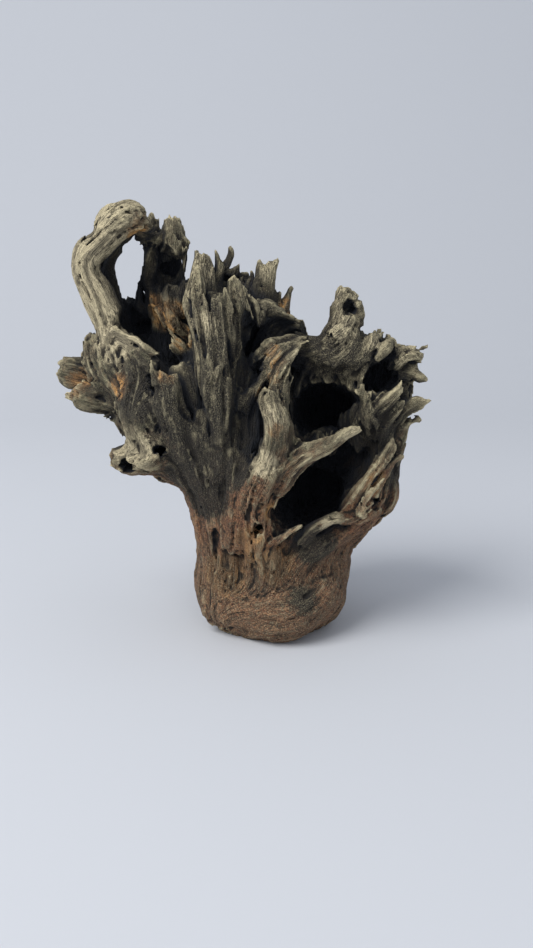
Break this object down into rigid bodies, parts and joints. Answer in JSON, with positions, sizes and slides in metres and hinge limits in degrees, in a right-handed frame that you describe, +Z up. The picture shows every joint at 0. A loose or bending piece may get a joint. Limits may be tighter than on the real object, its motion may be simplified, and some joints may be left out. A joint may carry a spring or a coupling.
{
  "type": "driftwood",
  "caption": "Upright weathered driftwood stump with a ringed arm, a fluted crown and a hollow shell, standing on a rounded foot.",
  "frame": {"origin": "on the small flat spot under the foot, on the floor, below the trunk", "axes": "+Z up, +X to the right of the front, +Y to the back; the shell's two hollows open to the front, -Y"},
  "size_m": [0.2368, 0.1386, 0.2773],
  "materials": {
    "driftwood_wood": "bare weathered wood, matt"
  },
  "bodies": {
    "root": {"driftwood": "driftwood_wood"}
  },
  "joints": []
}
